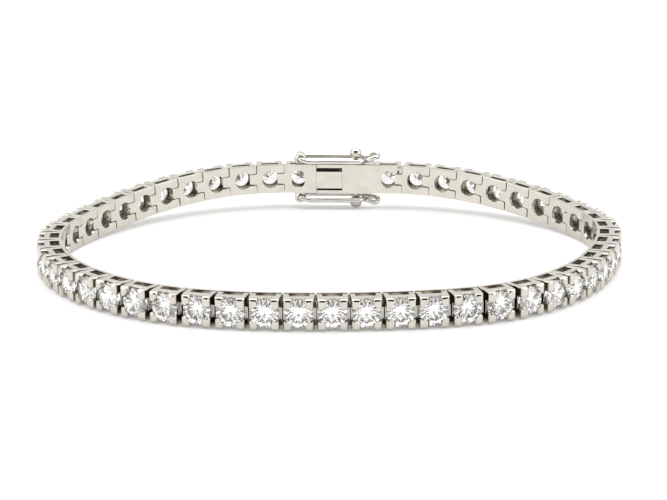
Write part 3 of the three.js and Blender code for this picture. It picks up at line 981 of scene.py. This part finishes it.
def repeated(name, prototype, frames, material, play, seed, spin=0.0):
    """A plain mesh piece: the prototype in every one of the frames, which are in millimetres.

    Spin is how far each copy may be turned about its own y axis by chance.
    """
    mesh = bpy.data.meshes.new(name + " places")
    mesh.from_pydata([MM * f.translation for f in frames], [], [])
    facing = mesh.attributes.new("facing", "QUATERNION", "POINT")
    for item, frame_matrix in zip(facing.data, frames):
        item.value = frame_matrix.to_quaternion()
    holder = bpy.data.objects.new(name + " places", mesh)
    bpy.context.scene.collection.objects.link(holder)
    modifier = holder.modifiers.new("Repeat", "NODES")
    tree = repeat_tree(name + " repeat")
    modifier.node_group = tree
    sockets = {
        item.name: item.identifier for item in tree.interface.items_tree if item.in_out == "INPUT"
    }
    modifier[sockets["Prototype"]] = prototype
    modifier[sockets["Material"]] = material
    modifier[sockets["Play"]] = play
    modifier[sockets["Seed"]] = seed
    modifier[sockets["Spin"]] = spin
    graph = bpy.context.evaluated_depsgraph_get()
    graph.update()
    made = bpy.data.meshes.new_from_object(holder.evaluated_get(graph), depsgraph=graph)
    made.name = name
    bpy.data.objects.remove(holder)
    bpy.data.objects.remove(prototype)
    if len(made.polygons) == 0:
        raise RuntimeError(f"{name}: the repeat made no faces")
    piece = bpy.data.objects.new(name, made)
    bpy.context.scene.collection.objects.link(piece)
    return piece


# ------------------------------------------------------------------ operators

class BRACELET_OT_links(bpy.types.Operator):
    """Builds the settings of the chain"""

    bl_idname = "bracelet.links"
    bl_label = "Build Links"

    def execute(self, context):
        settings = context.scene.bracelet
        gold = metal_material("White gold", settings.gold_color, settings.gold_roughness, 0.95)
        prototype = piece_from("setting prototype", setting(settings), gold)
        piece = repeated(
            "link_settings", prototype, link_frames(), gold, settings.link_play, settings.play_seed,
        )
        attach(piece, "chain")
        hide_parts(*[f"chain_segment_{n}" for n in range(1, 9)])
        return {"FINISHED"}


class BRACELET_OT_stones(bpy.types.Operator):
    """Sets a round brilliant stone in every link and in both ends of the clasp"""

    bl_idname = "bracelet.stones"
    bl_label = "Set Stones"

    def execute(self, context):
        settings = context.scene.bracelet
        glass = stone_material("Clear stone")
        clasp = clasp_frame()
        ends = [
            clasp @ Matrix.Translation((place, 0, 0))
            for place in (LINK_PITCH / 2, clasp_length() - LINK_PITCH / 2)
        ]
        cut = brilliant(settings.stone_diameter / MM)
        prototype = piece_from("stone prototype", cut, glass, 0.0)
        piece = repeated(
            "stones", prototype, link_frames() + ends, glass, settings.link_play, settings.play_seed, math.pi,
        )
        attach(piece, "chain")
        return {"FINISHED"}


class BRACELET_OT_clasp(bpy.types.Operator):
    """Builds both halves of the box clasp"""

    bl_idname = "bracelet.clasp"
    bl_label = "Build Clasp"

    def execute(self, context):
        settings = context.scene.bracelet
        gold = bpy.data.materials["White gold"]
        for name, shape, node_name in (
            ("clasp_box_metal", clasp_box(settings), "clasp_box"),
            ("clasp_tongue_metal", clasp_tongue(settings), "clasp_tongue"),
        ):
            piece = piece_from(name, moved(shape, clasp_frame()), gold)
            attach(piece, "chain")
            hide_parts(node_name)
        return {"FINISHED"}


class BRACELET_OT_latches(bpy.types.Operator):
    """Builds the two safety latches"""

    bl_idname = "bracelet.latches"
    bl_label = "Build Safety Latches"

    def execute(self, context):
        settings = context.scene.bracelet
        wire = metal_material("Latch wire", settings.wire_color, settings.gold_roughness * 0.8, 0.6)
        for side, word in ((1, "upper"), (-1, "lower")):
            path = smooth_loop(latch_route(side), 6)
            shape = moved(wire_loop(path, LATCH_WIRE, 12), clasp_frame())
            piece = piece_from(f"latch_{word}_wire", shape, wire, 60.0)
            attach(piece, f"latch_{word}")
            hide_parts(f"safety_latch_{word}")
        return {"FINISHED"}


def panel_object(name, size, matrix, strength, color=(1.0, 1.0, 1.0)):
    """A flat card of the studio that the camera doesn't see directly."""
    bm = bmesh.new()
    bmesh.ops.create_grid(bm, x_segments=1, y_segments=1, size=0.5)
    bmesh.ops.scale(bm, vec=(size[0], size[1], 1.0), verts=bm.verts)
    mesh = bpy.data.meshes.new(name)
    bm.to_mesh(mesh)
    bm.free()
    material = bpy.data.materials.new(name)
    material.use_nodes = True
    shader = material.node_tree.nodes["Principled BSDF"]
    shader.inputs["Base Color"].default_value = (0.0, 0.0, 0.0, 1.0)
    shader.inputs["Roughness"].default_value = 0.9
    shader.inputs["Specular IOR Level"].default_value = 0.0
    shader.inputs["Emission Color"].default_value = (*color, 1.0)
    shader.inputs["Emission Strength"].default_value = strength
    mesh.materials.append(material)
    card = bpy.data.objects.new(name, mesh)
    card.matrix_world = matrix
    card.visible_camera = False
    bpy.context.scene.collection.objects.link(card)
    return card


def facing(place, target):
    """Matrix of a card at place that faces the target."""
    place = Vector(place)
    turn = (place - Vector(target)).to_track_quat("Z", "Y").to_matrix().to_4x4()
    return Matrix.Translation(place) @ turn


class BRACELET_OT_studio(bpy.types.Operator):
    """Builds the floor, the lights and the camera"""

    bl_idname = "bracelet.studio"
    bl_label = "Build Studio"

    def execute(self, context):
        scene = context.scene
        studio = scene.bracelet_studio
        middle = Vector((0.335, -7.650, 3.43)) * MM

        bm = bmesh.new()
        bmesh.ops.create_grid(bm, x_segments=1, y_segments=1, size=3.0)
        bmesh.ops.translate(bm, vec=(0.0, 0.0, -0.00002), verts=bm.verts)
        mesh = bpy.data.meshes.new("floor")
        bm.to_mesh(mesh)
        bm.free()
        white = bpy.data.materials.new("White floor")
        white.use_nodes = True
        shader = white.node_tree.nodes["Principled BSDF"]
        level = studio.floor_brightness
        shader.inputs["Base Color"].default_value = (level, level, level, 1.0)
        shader.inputs["Roughness"].default_value = 0.9
        shader.inputs["Specular IOR Level"].default_value = 0.0
        shader.inputs["Emission Color"].default_value = (1.0, 1.0, 1.0, 1.0)
        shader.inputs["Emission Strength"].default_value = 0.25
        mesh.materials.append(white)
        floor = bpy.data.objects.new("floor", mesh)
        scene.collection.objects.link(floor)

        cards = [
            panel_object("top softbox", (0.8, 0.5), facing((0.0, 0.05, 0.42), middle), 2.6,
                         (1.0, 0.985, 0.955)),
            panel_object("left softbox", (0.3, 0.25), facing((-0.45, -0.10, 0.16), middle), 2.2),
            panel_object("right softbox", (0.3, 0.25), facing((0.45, -0.10, 0.16), middle), 2.2),
            panel_object("front dark card", (0.6, 0.46), facing((0.0, -0.40, 0.31), middle), 0.25),
            panel_object("edge card", (0.7, 0.2), facing((0.0, -0.33, 0.33), middle), 0.0),
        ]

        world = bpy.data.worlds.new("studio air")
        world.use_nodes = True
        world.node_tree.nodes["Background"].inputs["Color"].default_value = (0.985, 0.995, 1.0, 1.0)
        world.node_tree.nodes["Background"].inputs["Strength"].default_value = 1.05
        scene.world = world

        lens = bpy.data.cameras.new("camera")
        lens.sensor_width = 36.0
        lens.lens = studio.lens
        lens.clip_start = 0.01
        lens.clip_end = 20.0
        camera = bpy.data.objects.new("camera", lens)
        back = Vector((0.0, -math.cos(studio.camera_elevation), math.sin(studio.camera_elevation)))
        look = (-back).to_track_quat("-Z", "Y").to_matrix().to_4x4()
        spot = Matrix.Translation(middle + studio.camera_distance * back)
        camera.matrix_world = spot @ look @ Matrix.Rotation(studio.camera_roll, 4, "Z")
        scene.collection.objects.link(camera)
        scene.camera = camera
        scene.view_settings.view_transform = "Standard"
        scene.cycles.max_bounces = 20
        scene.cycles.transmission_bounces = 14
        scene.cycles.glossy_bounces = 10
        return {"FINISHED"}


# ------------------------------------------------------------------ panel

class BRACELET_PT_main(bpy.types.Panel):
    """Sizes, finishes and build buttons of the bracelet"""

    bl_label = "Tennis Bracelet"
    bl_idname = "BRACELET_PT_main"
    bl_space_type = "VIEW_3D"
    bl_region_type = "UI"
    bl_category = "Bracelet"

    def draw(self, context):
        layout = self.layout
        scene = context.scene
        for settings in (scene.bracelet, scene.bracelet_studio):
            column = layout.column()
            for name in settings.bl_rna.properties.keys():
                if name not in ("rna_type", "name"):
                    column.prop(settings, name)
        for step in STEPS:
            layout.operator(step.bl_idname)


STEPS = (
    BRACELET_OT_links, BRACELET_OT_stones, BRACELET_OT_clasp, BRACELET_OT_latches, BRACELET_OT_studio,
)
CLASSES = (BraceletSettings, StageSettings, *STEPS, BRACELET_PT_main)


def register():
    for cls in CLASSES:
        bpy.utils.register_class(cls)
    bpy.types.Scene.bracelet = PointerProperty(type=BraceletSettings)
    bpy.types.Scene.bracelet_studio = PointerProperty(type=StageSettings)


def unregister():
    del bpy.types.Scene.bracelet_studio
    del bpy.types.Scene.bracelet
    for cls in reversed(CLASSES):
        bpy.utils.unregister_class(cls)


def main():
    register()
    bpy.ops.bracelet.links()
    bpy.ops.bracelet.stones()
    bpy.ops.bracelet.clasp()
    bpy.ops.bracelet.latches()
    bpy.ops.bracelet.studio()


if __name__ == "__main__":
    main()
